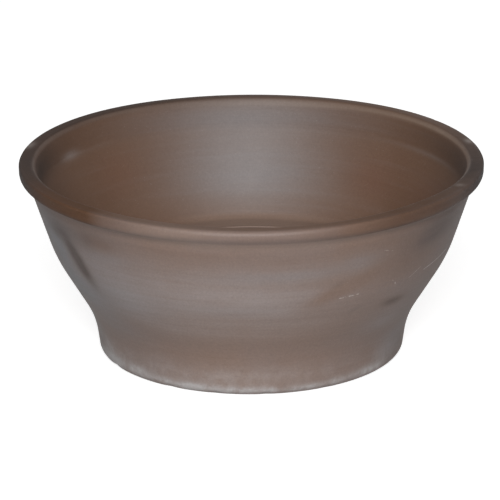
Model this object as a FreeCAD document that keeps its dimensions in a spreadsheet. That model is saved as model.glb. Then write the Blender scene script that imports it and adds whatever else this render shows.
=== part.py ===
import FreeCAD, Part
import math
import os

import Sketcher

# A round, footed ikebana suiban: a shallow flower vessel of fired clay.
# It is thrown in one piece: a rolled rim, a flaring wall, a waist and a hollow foot ring.
# A needle holder stands on its floor and can be lifted out. Flower stems are pushed onto
# the holder's brass needles, and its lead weight keeps them upright in the water.
#
# Frame: millimetres, +Z up, -Y towards the viewer, origin at the centre of the face that
# the foot rests on.

SHEET = "Sizes"
PARTS_FOLDER = "parts"
FAULT_STATES = ("Invalid", "Error")
FULL_TURN = 360

# How a sketch names its own axes, its origin and the two ends of a line or an arc.
LEVEL_AXIS_INDEX = -1
UPRIGHT_AXIS_INDEX = -2
ORIGIN_INDEXES = (-1, 1)
START_INDEX = 1
END_INDEX = 2

# How the corner of an outline is finished: an arc by its radius, or a flat bevel by its
# setback along both sides.
ROUND = "round"
BEVEL = "bevel"

# Each driving dimension, in millimetres or as a count, with what it measures.
DRIVING_SIZES = [
    ("rim_radius", 150.0, "outside of the rim's rolled band"),
    ("bowl_height", 126.2, "foot's resting face to the rim's top"),
    ("rim_width", 10.7, "across the rim's band, from its outside to its inner lip"),
    ("rim_slope_run", 4.1, "level part of the slope from the band's crest in to the lip"),
    ("rim_slope_drop", 5.1, "how far the lip lies under the crest"),
    ("rim_depth", 9.8, "rim's top to the notch under the band"),
    ("rim_face", 7.3, "rim's top to the band's lower outer corner"),
    ("rim_overhang", 6.2, "how far the band stands out over the notch"),
    ("rim_crown_bevel", 1.2, "upper outer edge of the band"),
    ("rim_belly_bevel", 3.4, "lower outer edge of the band"),
    ("wall_lean", 16.1, "how far the wall comes in from the notch down to the shoulder"),
    ("shoulder_height", 68.2, "outside, where the flare turns up into the wall"),
    ("shoulder_rounding", 103.0, "radius of that turn"),
    ("flare_run", 25.8, "how far the flare comes in from the shoulder down to the waist"),
    ("waist_height", 25.6, "outside, where the foot turns out into the flare"),
    ("waist_rounding", 64.0, "radius of that turn"),
    ("foot_lean", 4.0, "how far the foot comes in from the waist down to its resting face"),
    ("foot_wall", 9.0, "across the foot at its resting face"),
    ("foot_edge_bevel", 3.0, "outer edge of the resting face"),
    ("hollow_lean", 3.1, "how far the foot's hollow widens up to its roof"),
    ("hollow_bevel", 6.0, "corner between the foot's inside and that roof"),
    ("wall_width", 9.0, "flaring wall, measured level"),
    ("floor_height", 50.0, "resting face to the bowl's floor"),
    ("floor_thickness", 9.0, "floor"),
    ("floor_bevel", 7.0, "corner between the floor and the wall"),
    ("ridge_depth", 20.0, "rim's top to the thrown ridge that rings the inside"),
    ("ridge_wall", 5.0, "wall at the ridge, measured level"),
    ("ridge_rise", 2.4, "height of the slope from the ridge out to the collar over it"),
    ("collar_wall", 4.8, "wall at the collar's foot, measured level"),
    ("holder_radius", 35.0, "lead weight of the needle holder"),
    ("holder_thickness", 8.0, "lead weight"),
    ("holder_offset_share", 0.64, "holder's distance from the bowl's centre, of the most that fits"),
    ("holder_bearing", 229.0, "direction of that place in degrees, from the right round by the back"),
    ("ring_wall", 1.6, "rubber ring's band round the weight"),
    ("ring_height", 6.0, "rubber ring's band"),
    ("ring_lip_height", 1.5, "rubber ring's lip under the weight, thickness"),
    ("ring_lip_width", 4.5, "that lip, inwards from the band"),
    ("ring_clearance", 0.1, "between the weight's side and the band"),
    ("needle_width", 1.3, "across the corners of a needle"),
    ("needle_reach", 12.0, "top of the weight to the needles' points"),
    ("needle_taper", 1.8, "pointed end of a needle"),
    ("needle_root_depth", 4.0, "end of a needle that is cast into the weight"),
    ("needle_pitch", 3.8, "from one circle of needles to the next"),
    ("needle_circles", 8, "circles of needles round the middle one"),
    ("needles_per_circle", 6, "needles that each circle has more than the one inside it"),
    ("needle_sides", 4, "faces round a needle"),
]

document = FreeCAD.newDocument("suiban")


def make_sheet():
    """The spreadsheet that every piece takes its sizes from."""
    sheet = document.addObject("Spreadsheet::Sheet", SHEET)
    for row, (alias, size, meaning) in enumerate(DRIVING_SIZES, start=1):
        sheet.set(f"A{row}", alias)
        sheet.set(f"B{row}", str(size))
        sheet.set(f"C{row}", meaning)
        sheet.setAlias(f"B{row}", alias)
    document.recompute()
    return sheet


sizes = make_sheet()


def value_of(expression):
    """What an expression of the sheet's sizes comes to."""
    return float(sizes.evalExpression(expression))


def origin_plane(body, role):
    """One of the body's own origin planes."""
    return next(item for item in body.Origin.OriginFeatures if item.Role == role)


def finished_corner(before, corner, after, finish, size):
    """The points where an arc or bevel meets the sides at a corner, and the arc's centre."""
    towards_before = (before - corner).normalize()
    towards_after = (after - corner).normalize()
    if finish == BEVEL:
        return corner + towards_before * size, corner + towards_after * size, None
    half_angle = towards_before.getAngle(towards_after) / 2
    along_side = size / math.tan(half_angle)
    middle_line = (towards_before + towards_after).normalize()
    centre = corner + middle_line * (size / math.sin(half_angle))
    return corner + towards_before * along_side, corner + towards_after * along_side, centre


def arc_between(first, last, centre):
    """The arc from one point round to another, anticlockwise."""
    from_angle = math.atan2(first.y - centre.y, first.x - centre.x)
    to_angle = math.atan2(last.y - centre.y, last.x - centre.x)
    if to_angle < from_angle:
        to_angle += 2 * math.pi
    circle = Part.Circle(centre, FreeCAD.Vector(0, 0, 1), first.distanceToPoint(centre))
    return Part.ArcOfCircle(circle, from_angle, to_angle)


def tie(sketch, name, constraint, expression):
    """Adds a dimension to a sketch and binds it to the sheet."""
    index = sketch.addConstraint(constraint)
    sketch.renameConstraint(index, name)
    sketch.setExpression(f"Constraints.{name}", expression)


def tie_point(sketch, name, point, across, up):
    """Fixes a point by its distances from the sketch's origin, or puts it on an axis."""
    for kind, expression, axis in (("DistanceX", across, UPRIGHT_AXIS_INDEX), ("DistanceY", up, LEVEL_AXIS_INDEX)):
        if expression == "0":
            sketch.addConstraint(Sketcher.Constraint("PointOnObject", *point, axis))
        else:
            distance = Sketcher.Constraint(kind, *ORIGIN_INDEXES, *point, value_of(expression))
            tie(sketch, f"{name}_{kind}", distance, expression)


def add_arc(sketch, name, corner, ends, centre, side_before, side_after, size):
    """Rounds a corner with an arc that runs smoothly into both sides."""
    arrival, departure = ends
    turn = (corner - arrival).cross(departure - corner)
    if turn.z > 0:
        arc = sketch.addGeometry(arc_between(arrival, departure, centre))
        first_end, last_end = START_INDEX, END_INDEX
    else:
        arc = sketch.addGeometry(arc_between(departure, arrival, centre))
        first_end, last_end = END_INDEX, START_INDEX
    sketch.addConstraint(Sketcher.Constraint("Tangent", side_before, END_INDEX, arc, first_end))
    sketch.addConstraint(Sketcher.Constraint("Tangent", arc, last_end, side_after, START_INDEX))
    tie(sketch, f"{name}_rounding", Sketcher.Constraint("Radius", arc, value_of(size)), size)


def add_bevel(sketch, name, corner_point, ends, side_before, side_after, size):
    """Cuts a corner off with a straight bevel, set back alike along both sides."""
    bevel = sketch.addGeometry(Part.LineSegment(*ends))
    meetings = (("before", side_before, END_INDEX, START_INDEX), ("after", side_after, START_INDEX, END_INDEX))
    for which, side, side_end, bevel_end in meetings:
        sketch.addConstraint(Sketcher.Constraint("Coincident", side, side_end, bevel, bevel_end))
        setback = Sketcher.Constraint("Distance", corner_point, START_INDEX, side, side_end, value_of(size))
        tie(sketch, f"{name}_setback_{which}", setback, size)


def draw_outline(body, corners):
    """A closed outline in the body's upright plane: straight sides with finished corners.

    Each corner is its name, its distance from the axis, its height, its finish and the
    finish's size, all but the name and finish as expressions of the sheet's sizes.
    A sharp corner has no finish.
    """
    sketch = body.newObject("Sketcher::SketchObject", f"{body.Name}_outline")
    sketch.AttachmentSupport = [(origin_plane(body, "XZ_Plane"), "")]
    sketch.MapMode = "FlatFace"
    places = [FreeCAD.Vector(value_of(across), value_of(up), 0) for _, across, up, _, _ in corners]
    count = len(corners)

    arrivals = []
    departures = []
    centres = []
    for index, (_, _, _, finish, size) in enumerate(corners):
        corner = places[index]
        before = places[index - 1]
        after = places[(index + 1) % count]
        if finish:
            arrival, departure, centre = finished_corner(before, corner, after, finish, value_of(size))
        else:
            arrival, departure, centre = corner, corner, None
        arrivals.append(arrival)
        departures.append(departure)
        centres.append(centre)

    sides = []
    for index in range(count):
        side = Part.LineSegment(departures[index], arrivals[(index + 1) % count])
        sides.append(sketch.addGeometry(side))

    for index, (name, across, up, finish, size) in enumerate(corners):
        side_before = sides[index - 1]
        side_after = sides[index]
        if not finish:
            joined = Sketcher.Constraint("Coincident", side_before, END_INDEX, side_after, START_INDEX)
            sketch.addConstraint(joined)
            tie_point(sketch, name, (side_after, START_INDEX), across, up)
            continue
        corner_point = sketch.addGeometry(Part.Point(places[index]), True)
        for side in (side_before, side_after):
            sketch.addConstraint(Sketcher.Constraint("PointOnObject", corner_point, START_INDEX, side))
        tie_point(sketch, name, (corner_point, START_INDEX), across, up)
        ends = (arrivals[index], departures[index])
        if finish == ROUND:
            add_arc(sketch, name, places[index], ends, centres[index], side_before, side_after, size)
        else:
            add_bevel(sketch, name, corner_point, ends, side_before, side_after, size)
    return sketch


def turned_body(name, corners):
    """A body made by turning an outline round its upright axis."""
    body = document.addObject("PartDesign::Body", name)
    body.Label = name
    sketch = draw_outline(body, corners)
    turned = body.newObject("PartDesign::Revolution", f"{name}_turned")
    turned.Profile = sketch
    turned.ReferenceAxis = (sketch, ["V_Axis"])
    turned.Angle = FULL_TURN
    return body


# The rim's inner lip, and the bowl's outside from the rim in and down, level by level.
LIP_RADIUS = "(Sizes.rim_radius - Sizes.rim_width)"
NECK_RADIUS = "(Sizes.rim_radius - Sizes.rim_overhang)"
NECK_HEIGHT = "(Sizes.bowl_height - Sizes.rim_depth)"
SHOULDER_RADIUS = f"({NECK_RADIUS} - Sizes.wall_lean)"
WAIST_RADIUS = f"({SHOULDER_RADIUS} - Sizes.flare_run)"
FOOT_RADIUS = f"({WAIST_RADIUS} - Sizes.foot_lean)"
FOOT_BORE = f"({FOOT_RADIUS} - Sizes.foot_wall)"

# The outside at the height of the floor, on the flare's line from waist to shoulder.
FLOOR_RISE_SHARE = "(Sizes.floor_height - Sizes.waist_height) / (Sizes.shoulder_height - Sizes.waist_height)"
FLARE_AT_FLOOR = f"({WAIST_RADIUS} + Sizes.flare_run * {FLOOR_RISE_SHARE})"
FLOOR_RADIUS = f"({FLARE_AT_FLOOR} - Sizes.wall_width)"

# The outside at the ridge and at the collar's foot, on the wall's line from shoulder to notch.
WALL_SLOPE = f"(Sizes.wall_lean / ({NECK_HEIGHT} - Sizes.shoulder_height))"
RIDGE_HEIGHT = "(Sizes.bowl_height - Sizes.ridge_depth)"
COLLAR_HEIGHT = f"({RIDGE_HEIGHT} + Sizes.ridge_rise)"
WALL_AT_RIDGE = f"({SHOULDER_RADIUS} + {WALL_SLOPE} * ({RIDGE_HEIGHT} - Sizes.shoulder_height))"
WALL_AT_COLLAR = f"({SHOULDER_RADIUS} + {WALL_SLOPE} * ({COLLAR_HEIGHT} - Sizes.shoulder_height))"

# The needle holder's rubber ring, and where the holder stands on the floor.
RING_BORE = "(Sizes.holder_radius + Sizes.ring_clearance)"
RING_OUTSIDE = f"({RING_BORE} + Sizes.ring_wall)"
ROOM_ON_FLOOR = f"({FLOOR_RADIUS} - Sizes.floor_bevel - {RING_OUTSIDE})"
HOLDER_OFFSET = f"({ROOM_ON_FLOOR} * Sizes.holder_offset_share)"


def stand_on_floor(piece, height_over_floor):
    """Puts a piece of the needle holder at the holder's place in the bowl."""
    piece.setExpression("Placement.Base.x", f"{HOLDER_OFFSET} * cos(Sizes.holder_bearing)")
    piece.setExpression("Placement.Base.y", f"{HOLDER_OFFSET} * sin(Sizes.holder_bearing)")
    piece.setExpression("Placement.Base.z", f"Sizes.floor_height + {height_over_floor}")


# The bowl

BOWL_OUTLINE = [
    ("floor_centre", "0", "Sizes.floor_height", None, None),
    ("floor_corner", FLOOR_RADIUS, "Sizes.floor_height", BEVEL, "Sizes.floor_bevel"),
    ("inner_shoulder", f"{SHOULDER_RADIUS} - Sizes.wall_width", "Sizes.shoulder_height", None, None),
    ("ridge", f"{WALL_AT_RIDGE} - Sizes.ridge_wall", RIDGE_HEIGHT, None, None),
    ("collar_foot", f"{WALL_AT_COLLAR} - Sizes.collar_wall", COLLAR_HEIGHT, None, None),
    ("rim_lip", LIP_RADIUS, "Sizes.bowl_height - Sizes.rim_slope_drop", None, None),
    ("rim_crest", f"{LIP_RADIUS} + Sizes.rim_slope_run", "Sizes.bowl_height", None, None),
    ("rim_crown", "Sizes.rim_radius", "Sizes.bowl_height", BEVEL, "Sizes.rim_crown_bevel"),
    ("rim_belly", "Sizes.rim_radius", "Sizes.bowl_height - Sizes.rim_face", BEVEL, "Sizes.rim_belly_bevel"),
    ("neck", NECK_RADIUS, NECK_HEIGHT, None, None),
    ("shoulder", SHOULDER_RADIUS, "Sizes.shoulder_height", ROUND, "Sizes.shoulder_rounding"),
    ("waist", WAIST_RADIUS, "Sizes.waist_height", ROUND, "Sizes.waist_rounding"),
    ("foot_edge", FOOT_RADIUS, "0", BEVEL, "Sizes.foot_edge_bevel"),
    ("foot_lip", FOOT_BORE, "0", None, None),
    ("hollow_corner", f"{FOOT_BORE} + Sizes.hollow_lean", "Sizes.floor_height - Sizes.floor_thickness",
     BEVEL, "Sizes.hollow_bevel"),
    ("hollow_centre", "0", "Sizes.floor_height - Sizes.floor_thickness", None, None),
]


def make_bowl():
    """The clay vessel, thrown in one piece and fired."""
    return turned_body("bowl", BOWL_OUTLINE)


# The needle holder

WEIGHT_OUTLINE = [
    ("base_centre", "0", "0", None, None),
    ("base_edge", "Sizes.holder_radius", "0", None, None),
    ("top_edge", "Sizes.holder_radius", "Sizes.holder_thickness", None, None),
    ("top_centre", "0", "Sizes.holder_thickness", None, None),
]

RING_OUTLINE = [
    ("lip_under", f"{RING_BORE} - Sizes.ring_lip_width", "0", None, None),
    ("band_foot", RING_OUTSIDE, "0", None, None),
    ("band_top", RING_OUTSIDE, "Sizes.ring_height", None, None),
    ("band_bore", RING_BORE, "Sizes.ring_height", None, None),
    ("seat", RING_BORE, "Sizes.ring_lip_height", None, None),
    ("lip_top", f"{RING_BORE} - Sizes.ring_lip_width", "Sizes.ring_lip_height", None, None),
]


def make_weight():
    """The lead disc that holds the needles and stands on the ring's lip."""
    weight = turned_body("kenzan_base", WEIGHT_OUTLINE)
    stand_on_floor(weight, "Sizes.ring_lip_height")
    return weight


def make_ring():
    """The rubber ring round and under the weight, which keeps it from marking the bowl."""
    ring = turned_body("kenzan_ring", RING_OUTLINE)
    stand_on_floor(ring, "0")
    return ring


def flat_face(*points):
    """A flat face with straight sides through the points."""
    return Part.Face(Part.makePolygon([*points, points[0]]))


def needle_solid():
    """One needle, root at the origin: a slim prism with a pointed end."""
    side_count = round(value_of("needle_sides"))
    radius = value_of("needle_width / 2")
    length = value_of("needle_root_depth + needle_reach")
    taper_start = length - value_of("needle_taper")
    point = FreeCAD.Vector(0, 0, length)
    root_corners = []
    shank_corners = []
    for step in range(side_count):
        angle = 2 * math.pi * step / side_count
        across, deep = radius * math.cos(angle), radius * math.sin(angle)
        root_corners.append(FreeCAD.Vector(across, deep, 0))
        shank_corners.append(FreeCAD.Vector(across, deep, taper_start))
    faces = [flat_face(*reversed(root_corners))]
    for step in range(side_count):
        following = (step + 1) % side_count
        low, next_low = root_corners[step], root_corners[following]
        high, next_high = shank_corners[step], shank_corners[following]
        faces.append(flat_face(low, next_low, next_high, high))
        faces.append(flat_face(high, next_high, point))
    return Part.Solid(Part.Shell(faces))


def needle_places():
    """Where the needles stand round the holder's centre, in widening circles."""
    places = [FreeCAD.Vector(0, 0, 0)]
    pitch = value_of("needle_pitch")
    for circle in range(1, round(value_of("needle_circles")) + 1):
        count = circle * round(value_of("needles_per_circle"))
        for step in range(count):
            angle = 2 * math.pi * step / count
            radius = circle * pitch
            places.append(FreeCAD.Vector(radius * math.cos(angle), radius * math.sin(angle), 0))
    return places


def make_needles():
    """The brass needles, each a solid of its own, with their roots cast into the weight."""
    needle = needle_solid()
    needles = document.addObject("Part::Feature", "kenzan_needles")
    needles.Label = "kenzan_needles"
    needles.Shape = Part.makeCompound([needle.translated(place) for place in needle_places()])
    stand_on_floor(needles, "Sizes.ring_lip_height + Sizes.holder_thickness - Sizes.needle_root_depth")
    return needles


def check(pieces):
    """Stops the build if an object failed or a piece isn't sound."""
    for item in document.Objects:
        if any(state in FAULT_STATES for state in item.State):
            raise RuntimeError(f"{item.Label} failed: {item.State}")
        if item.isDerivedFrom("Sketcher::SketchObject") and not item.FullyConstrained:
            raise RuntimeError(f"{item.Label} isn't fully dimensioned")
    for piece in pieces:
        if piece.Shape.isNull() or not piece.Shape.isValid() or piece.Shape.Volume <= 0:
            raise RuntimeError(f"{piece.Label} isn't a sound solid")


def write(pieces):
    """One STEP file for each piece, named by its label."""
    os.makedirs(PARTS_FOLDER, exist_ok=True)
    for piece in pieces:
        piece.Shape.exportStep(os.path.join(PARTS_FOLDER, f"{piece.Label}.step"))


pieces = [make_bowl(), make_weight(), make_ring(), make_needles()]
document.recompute()
check(pieces)
write(pieces)
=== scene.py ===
import math

import bpy
import numpy as np
from mathutils import Matrix, Vector


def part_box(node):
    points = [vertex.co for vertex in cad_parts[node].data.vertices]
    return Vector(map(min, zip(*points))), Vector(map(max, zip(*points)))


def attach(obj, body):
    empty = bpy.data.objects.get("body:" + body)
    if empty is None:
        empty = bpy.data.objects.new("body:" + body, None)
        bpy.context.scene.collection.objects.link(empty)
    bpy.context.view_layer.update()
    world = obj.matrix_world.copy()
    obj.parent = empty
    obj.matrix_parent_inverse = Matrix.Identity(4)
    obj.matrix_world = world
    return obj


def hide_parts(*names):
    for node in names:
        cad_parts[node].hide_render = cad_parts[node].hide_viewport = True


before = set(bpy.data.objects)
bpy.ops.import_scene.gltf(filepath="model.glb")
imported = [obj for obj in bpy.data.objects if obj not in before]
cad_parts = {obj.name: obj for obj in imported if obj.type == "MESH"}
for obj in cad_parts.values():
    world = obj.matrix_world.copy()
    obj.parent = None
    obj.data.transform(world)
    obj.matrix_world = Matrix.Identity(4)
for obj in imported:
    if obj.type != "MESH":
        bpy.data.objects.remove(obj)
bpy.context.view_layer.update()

# The looks of a thrown clay suiban with its needle holder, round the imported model.
# Metres, +Z up, -Y towards the viewer. MM turns the sizes below into metres.
MM = 0.001

# Sizes that come from the frame.
BOWL_LOW, BOWL_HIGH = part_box("bowl")
RING_LOW, RING_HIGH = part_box("kenzan_ring")
WEIGHT_LOW, WEIGHT_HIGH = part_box("kenzan_base")
_, NEEDLES_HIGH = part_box("kenzan_needles")
RIM_RADIUS = min(BOWL_HIGH.x, BOWL_HIGH.y, -BOWL_LOW.x, -BOWL_LOW.y)
BOWL_HEIGHT = BOWL_HIGH.z
FLOOR_HEIGHT = RING_LOW.z

# Places on the bowl: distances from the axis and heights over the resting face.
RIM_EDGE = RIM_RADIUS - 0.02 * MM
RIM_INNER = RIM_EDGE - 10.7 * MM
RIM_CREST = RIM_EDGE - 8.3 * MM
LIP_HEIGHT = BOWL_HEIGHT - 5.1 * MM
BELLY_HEIGHT = BOWL_HEIGHT - 5.6 * MM
NECK_RADIUS = RIM_EDGE - 5.8 * MM
NECK_HEIGHT = BOWL_HEIGHT - 13.0 * MM
SHOULDER_RADIUS = NECK_RADIUS - 16.1 * MM
SHOULDER_HEIGHT = 68.2 * MM
WAIST_RADIUS = SHOULDER_RADIUS - 26.1 * MM
WAIST_HEIGHT = 25.6 * MM
FOOT_RADIUS = WAIST_RADIUS - 3.55 * MM
WALL = 9.0 * MM
RIDGE_HEIGHT = BOWL_HEIGHT - 20.0 * MM
ROOF_HEIGHT = FLOOR_HEIGHT - 9.0 * MM

# The bowl's outline, from the middle of its floor over the rim and round to the hollow
# under it: distance from the axis, height, and the radius that rounds the corner.
BOWL_CORNERS = [
    (0, FLOOR_HEIGHT, 0),
    # The small step round the floor, and the turn from floor to wall.
    (90.5 * MM, FLOOR_HEIGHT, 0.3 * MM),
    (91.1 * MM, FLOOR_HEIGHT + 0.9 * MM, 0.4 * MM),
    (107.9 * MM, FLOOR_HEIGHT + 1.1 * MM, 7.5 * MM),
    # Up the inside: wall, ridge and collar.
    (SHOULDER_RADIUS - WALL, SHOULDER_HEIGHT, 94.0 * MM),
    (RIM_EDGE - 14.4 * MM, RIDGE_HEIGHT, 9.0 * MM),
    (RIM_EDGE - 13.6 * MM, RIDGE_HEIGHT + 2.8 * MM, 12.0 * MM),
    # The rim: lip, crest, outer edge and belly.
    (RIM_INNER, LIP_HEIGHT, 4.5 * MM),
    (RIM_CREST, BOWL_HEIGHT, 4.0 * MM),
    (RIM_EDGE, BOWL_HEIGHT, 3.1 * MM),
    (RIM_EDGE, BELLY_HEIGHT, 6.0 * MM),
    # Down the outside: neck, shoulder, waist and foot.
    (NECK_RADIUS, NECK_HEIGHT, 12.0 * MM),
    (SHOULDER_RADIUS, SHOULDER_HEIGHT, 103.0 * MM),
    (WAIST_RADIUS, WAIST_HEIGHT, 64.0 * MM),
    (FOOT_RADIUS, 0, 5.2 * MM),
    # The resting face and the hollow under the floor.
    (FOOT_RADIUS - WALL, 0, 2.5 * MM),
    (FOOT_RADIUS - 5.9 * MM, ROOF_HEIGHT, 9.0 * MM),
    (0, ROOF_HEIGHT, 0),
]
# At its left and right sides the handmade rim is flatter on top and sharper at its edge.
SIDE_PLACES = {
    (RIM_INNER, LIP_HEIGHT): (RIM_INNER, BOWL_HEIGHT - 2.6 * MM, 2.5 * MM),
    (RIM_EDGE, BOWL_HEIGHT): (RIM_EDGE, BOWL_HEIGHT, 1.5 * MM),
    (RIM_EDGE, BELLY_HEIGHT): (RIM_EDGE - 0.2 * MM, BOWL_HEIGHT - 8.0 * MM, 4.2 * MM),
    (NECK_RADIUS, NECK_HEIGHT): (NECK_RADIUS - 0.2 * MM, BOWL_HEIGHT - 10.5 * MM, 6.0 * MM),
}
SIDE_CORNERS = [SIDE_PLACES.get(corner[:2], corner) for corner in BOWL_CORNERS]
# In front its crest lies further in and is sharper.
FRONT_PLACES = {
    (RIM_INNER, LIP_HEIGHT): (RIM_INNER - 0.8 * MM, LIP_HEIGHT, 4.0 * MM),
    (RIM_CREST, BOWL_HEIGHT): (RIM_CREST - 1.3 * MM, BOWL_HEIGHT, 2.2 * MM),
}
FRONT_CORNERS = [FRONT_PLACES.get(corner[:2], corner) for corner in BOWL_CORNERS]

# How fine the turned surfaces are.
OUTLINE_STEP = 1.25 * MM
ARC_STEP = math.radians(9)
TURNS_AROUND = 600
AT_AXIS = 1e-9
TINY = 1e-12


def rise(value, start, over):
    """0 up to a start and 1 from there on, with an even slope between."""
    return np.clip((value - start) / over, 0, 1)


def fall(value, end, over):
    """1 well below an end and 0 from there on, with an even slope between."""
    return np.clip((end - value) / over, 0, 1)


def eased(share):
    """A share from 0 to 1 with a soft start and end."""
    return share * share * (3 - 2 * share)


def degrees_from(azimuth, centre):
    """Degrees round the axis from a centre, from -180 to 180."""
    return (azimuth - centre + 180) % 360 - 180


def arc_length(azimuth, centre, radius):
    """Metres round the axis from a centre."""
    return degrees_from(azimuth, centre) * math.pi / 180 * radius


def rounded_outline(corners, step):
    """Points along the sides and the arcs that round their corners, and each corner's point."""
    count = len(corners)
    places = [np.array(corner[:2], float) for corner in corners]
    ends = []
    for index, (_, _, rounding) in enumerate(corners):
        corner = places[index]
        if rounding == 0 or index in (0, count - 1):
            ends.append([corner])
            continue
        before = places[index - 1] - corner
        after = places[index + 1] - corner
        before /= np.linalg.norm(before)
        after /= np.linalg.norm(after)
        half = math.acos(float(np.clip(before @ after, -1, 1))) / 2
        middle = (before + after) / np.linalg.norm(before + after)
        centre = corner + middle * rounding / math.sin(half)
        sweep = math.pi - 2 * half
        pieces = max(2, math.ceil(sweep / ARC_STEP), math.ceil(sweep * rounding / step))
        along = rounding / math.tan(half)
        first = corner + before * along - centre
        last = corner + after * along - centre
        turn = math.atan2(first[0] * last[1] - first[1] * last[0], float(first @ last))
        arc = []
        for piece in range(pieces + 1):
            angle = turn * piece / pieces
            cosine, sine = math.cos(angle), math.sin(angle)
            arc.append(centre + np.array([first[0] * cosine - first[1] * sine,
                                          first[0] * sine + first[1] * cosine]))
        ends.append(arc)
    points = list(ends[0])
    middles = [0]
    for arc in ends[1:]:
        gap = arc[0] - points[-1]
        pieces = max(1, math.ceil(np.linalg.norm(gap) / step))
        start = points[-1]
        points += [start + gap * piece / pieces for piece in range(1, pieces)]
        middles.append(len(points) + len(arc) // 2)
        points += arc
    return np.array(points), middles


def lengths_along(points):
    """How far along the outline each of its points is."""
    return np.concatenate([[0], np.cumsum(np.linalg.norm(np.diff(points, axis=0), axis=1))])


def matched_outline(corners, pattern, pattern_middles):
    """An outline with as many points as the pattern, and its corners at the same ones."""
    points, middles = rounded_outline(corners, OUTLINE_STEP)
    along, pattern_along = lengths_along(points), lengths_along(pattern)
    places = np.interp(pattern_along, pattern_along[pattern_middles], along[middles])
    return np.column_stack([np.interp(places, along, points[:, column]) for column in (0, 1)])


def outline_normals(points):
    """Unit normals of the outline, out of the clay."""
    tangent = np.gradient(points, axis=0)
    normal = np.column_stack([-tangent[:, 1], tangent[:, 0]])
    return normal / np.linalg.norm(normal, axis=1)[:, None]


def mesh_piece(name, vertices, faces, smooth=True):
    """A mesh object from vertices and faces."""
    mesh = bpy.data.meshes.new(name)
    mesh.from_pydata(vertices.tolist(), [], faces)
    mesh.update()
    mesh.polygons.foreach_set("use_smooth", [smooth] * len(mesh.polygons))
    piece = bpy.data.objects.new(name, mesh)
    bpy.context.scene.collection.objects.link(piece)
    return piece


def pole(place):
    """The single vertex where an outline ends on the axis."""
    return np.array([[0, 0, place[1]]])


def turned_faces(rows, around, first_pole, last_pole):
    """Faces of a turned surface: rows of vertices round the axis, and a pole at an end or not."""
    faces = []
    start = 1 if first_pole else 0

    def ring(row):
        return start + row * around

    if first_pole:
        faces += [(0, ring(0) + (step + 1) % around, ring(0) + step) for step in range(around)]
    for row in range(rows - 1):
        low, high = ring(row), ring(row + 1)
        for step in range(around):
            following = (step + 1) % around
            faces.append((low + step, low + following, high + following, high + step))
    if last_pole:
        end, last = ring(rows), ring(rows - 1)
        faces += [(end, last + step, last + (step + 1) % around) for step in range(around)]
    return faces


def turned_piece(name, outline, around, centre, closed=False):
    """A turned surface from an outline of (distance from axis, height)."""
    angles = np.arange(around) * 2 * math.pi / around
    first_pole, last_pole = outline[0][0] < AT_AXIS, outline[-1][0] < AT_AXIS
    rings = outline[int(first_pole):len(outline) - int(last_pole)]
    parts = [pole(outline[0])] if first_pole else []
    for radius, height in rings:
        parts.append(np.column_stack([radius * np.cos(angles), radius * np.sin(angles),
                                      np.full(around, height)]))
    if last_pole:
        parts.append(pole(outline[-1]))
    vertices = np.concatenate(parts) + np.array([*centre, 0])
    faces = turned_faces(len(rings), around, first_pole, last_pole)
    if closed:
        last = (len(rings) - 1) * around
        for step in range(around):
            following = (step + 1) % around
            faces.append((last + step, last + following, following, step))
    return mesh_piece(name, vertices, faces)


def smooth_noise(values, count, generator):
    """A smooth random curve with so many waves over the values' range, from -1 to 1."""
    # One knot for each wave, one for the end, and two that are only drawn.
    knots = generator.uniform(-1, 1, count + 3)
    place = (values - values.min()) / (np.ptp(values) + TINY) * count
    index = np.minimum(place.astype(int), count - 1)
    share = eased(place - index)
    return knots[index] * (1 - share) + knots[index + 1] * share


def spot(azimuth, height, centre_azimuth, centre_height, half_width, half_height, lean):
    """A soft spot on the wall, in degrees and metres up. Lean tips it, in metres per degree."""
    across = degrees_from(azimuth, centre_azimuth)
    up = height - centre_height - lean * across
    return np.exp(-(across / half_width) ** 2 - (up / half_height) ** 2)


# Azimuths count from the right round by the back, so the viewer's side is at -90 degrees.
# Chips and dents: azimuth, distance from the axis, height, half width and depth, in millimetres.
CHIPS = [
    (-43.2, 149.6, 125.4, 1.2, 0.5),
    (-15.9, 149.6, 125.2, 1.0, 0.4),
    (-23.9, 149.8, 124.4, 1.3, 0.5),
    (-46.5, 148.6, 126.2, 0.9, 0.35),
    (-104.0, 97.4, 1.0, 1.8, 0.5),
    (-84.6, 97.0, 1.2, 2.0, 0.5),
    (-122.1, 97.4, 0.8, 2.2, 0.6),
    (-61.0, 97.4, 1.0, 1.6, 0.5),
    (-153.2, 97.0, 1.2, 2.4, 0.6),
    (35.0, 149.8, 124.8, 1.2, 0.45),
    (112.0, 149.6, 125.4, 1.0, 0.4),
    (150.0, 97.2, 1.0, 2.0, 0.5),
    (61.0, 97.2, 1.0, 1.8, 0.5),
]
# How much longer a chip is round the bowl than across.
CHIP_LENGTH = 1.6

# The thrown relief: how deep it cuts at most, and where it fades out towards the axis.
RELIEF = 0.16 * MM
RELIEF_FADE = 20 * MM
# Throwing lines, fine ridges that run round: waves over the outline, and share.
THROWING_WAVES = [(260, 0.30), (70, 0.35), (18, 0.35)]
# Lumps, which change the lines' depth round the bowl: waves, share and phase.
LUMP_WAVES = [(2, 0.5, 0.7), (3, 0.3, 2.1), (5, 0.2, 4.0)]
LINES_SHARE, LUMPS_SHARE = 0.62, 0.38

# Where round the bowl the side and front outlines take over, by cosine and sine.
SIDE_START, SIDE_OVER = 0.12, 0.63
FRONT_GAIN = 1.6
# The rim also strays from a circle: a little wider behind on both sides, tighter in front.
# It does so from one height up.
WIDER_BEHIND = 0.9 * MM
TIGHTER_LEFT = 0.9 * MM
TIGHTER_RIGHT = 1.8 * MM
STRAY_START, STRAY_OVER = 85 * MM, 35 * MM
# Its lip reaches further in at the front left and right: azimuth, half width in degrees, reach.
LIP_REACH = [(-128, 30, 2.0 * MM), (-40, 26, 2.8 * MM)]
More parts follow.
